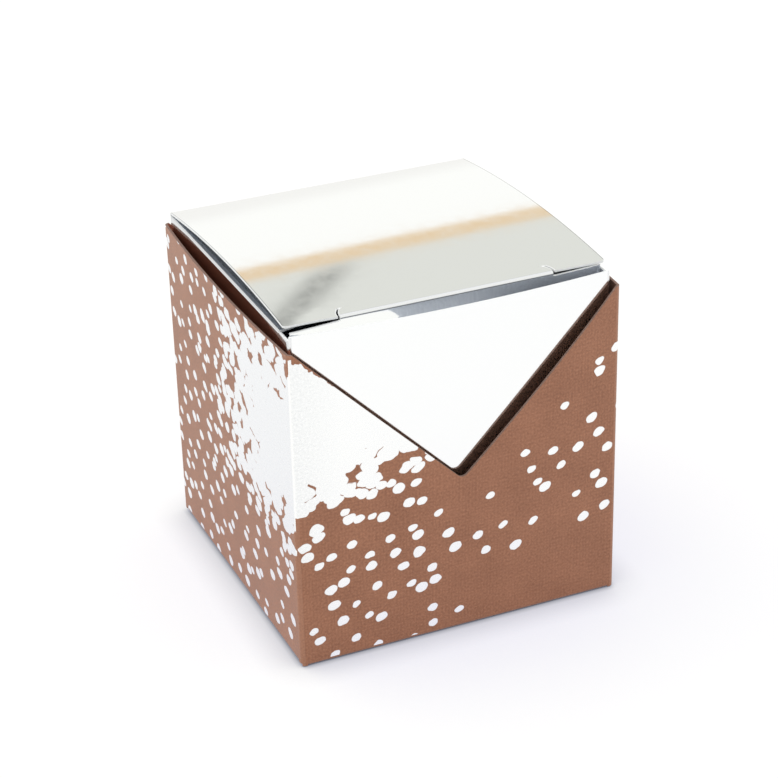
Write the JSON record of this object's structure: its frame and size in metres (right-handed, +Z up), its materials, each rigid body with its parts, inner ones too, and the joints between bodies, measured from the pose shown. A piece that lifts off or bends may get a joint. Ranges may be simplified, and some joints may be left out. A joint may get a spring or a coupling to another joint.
{
  "type": "favor box",
  "caption": "Cube favour box of folded card: a mirror-silver carton with a slit-locked tuck lid and dust flaps, lifting out of an open brown pocket cut to a V at front and back.",
  "frame": {"origin": "middle of the underside", "axes": "+X right, +Y to the back wall that the lid turns on, +Z up"},
  "size_m": [0.0518, 0.0526, 0.0531],
  "materials": {
    "brown_card": "matte",
    "mirror_card": "polished"
  },
  "bodies": {
    "pocket": {"pocket_front_wall": "brown_card", "pocket_right_wall": "brown_card", "pocket_back_wall": "brown_card", "pocket_left_wall": "brown_card", "pocket_glue_tab": "brown_card", "pocket_bottom_front_flap": "brown_card", "pocket_bottom_back_flap": "brown_card", "pocket_bottom_left_flap": "brown_card", "pocket_bottom_right_flap": "brown_card"},
    "carton": {"carton_front_wall": "mirror_card", "carton_right_wall": "mirror_card", "carton_back_wall": "mirror_card", "carton_left_wall": "mirror_card", "carton_glue_tab": "mirror_card", "carton_bottom_panel": "mirror_card", "carton_bottom_tuck": "mirror_card", "carton_bottom_dust_left": "mirror_card", "carton_bottom_dust_right": "mirror_card"},
    "lid": {"lid_panel": "mirror_card"},
    "lid_tuck": {"lid_tuck": "mirror_card"},
    "lid_dust_left": {"lid_dust_left": "mirror_card"},
    "lid_dust_right": {"lid_dust_right": "mirror_card"}
  },
  "joints": [
    {"name": "carton_slide", "type": "slide", "parent": "pocket", "child": "carton", "axis": [0, 0, 1], "range_m": [0, 0.055]},
    {"name": "lid_hinge", "type": "hinge", "parent": "carton", "child": "lid", "pos_m": [-0.00022, 0.02388, 0.05119], "axis": [-1, 0, 0], "range_deg": [0, 180]},
    {"name": "tuck_crease", "type": "hinge", "parent": "lid", "child": "lid_tuck", "pos_m": [-0.00022, -0.02243, 0.05206], "axis": [-1, 0, 0], "range_deg": [0, 45]},
    {"name": "dust_left_crease", "type": "hinge", "parent": "carton", "child": "lid_dust_left", "pos_m": [-0.02425, 0, 0.05075], "axis": [0, -1, 0], "range_deg": [0, 90]},
    {"name": "dust_right_crease", "type": "hinge", "parent": "carton", "child": "lid_dust_right", "pos_m": [0.0238, 0, 0.05075], "axis": [0, 1, 0], "range_deg": [0, 90]}
  ],
  "couplings": [
    {"joint": "tuck_crease", "follows": "lid_hinge", "ratio": 0.25},
    {"joint": "dust_left_crease", "follows": "lid_hinge", "ratio": 0.5},
    {"joint": "dust_right_crease", "follows": "lid_hinge", "ratio": 0.5}
  ]
}
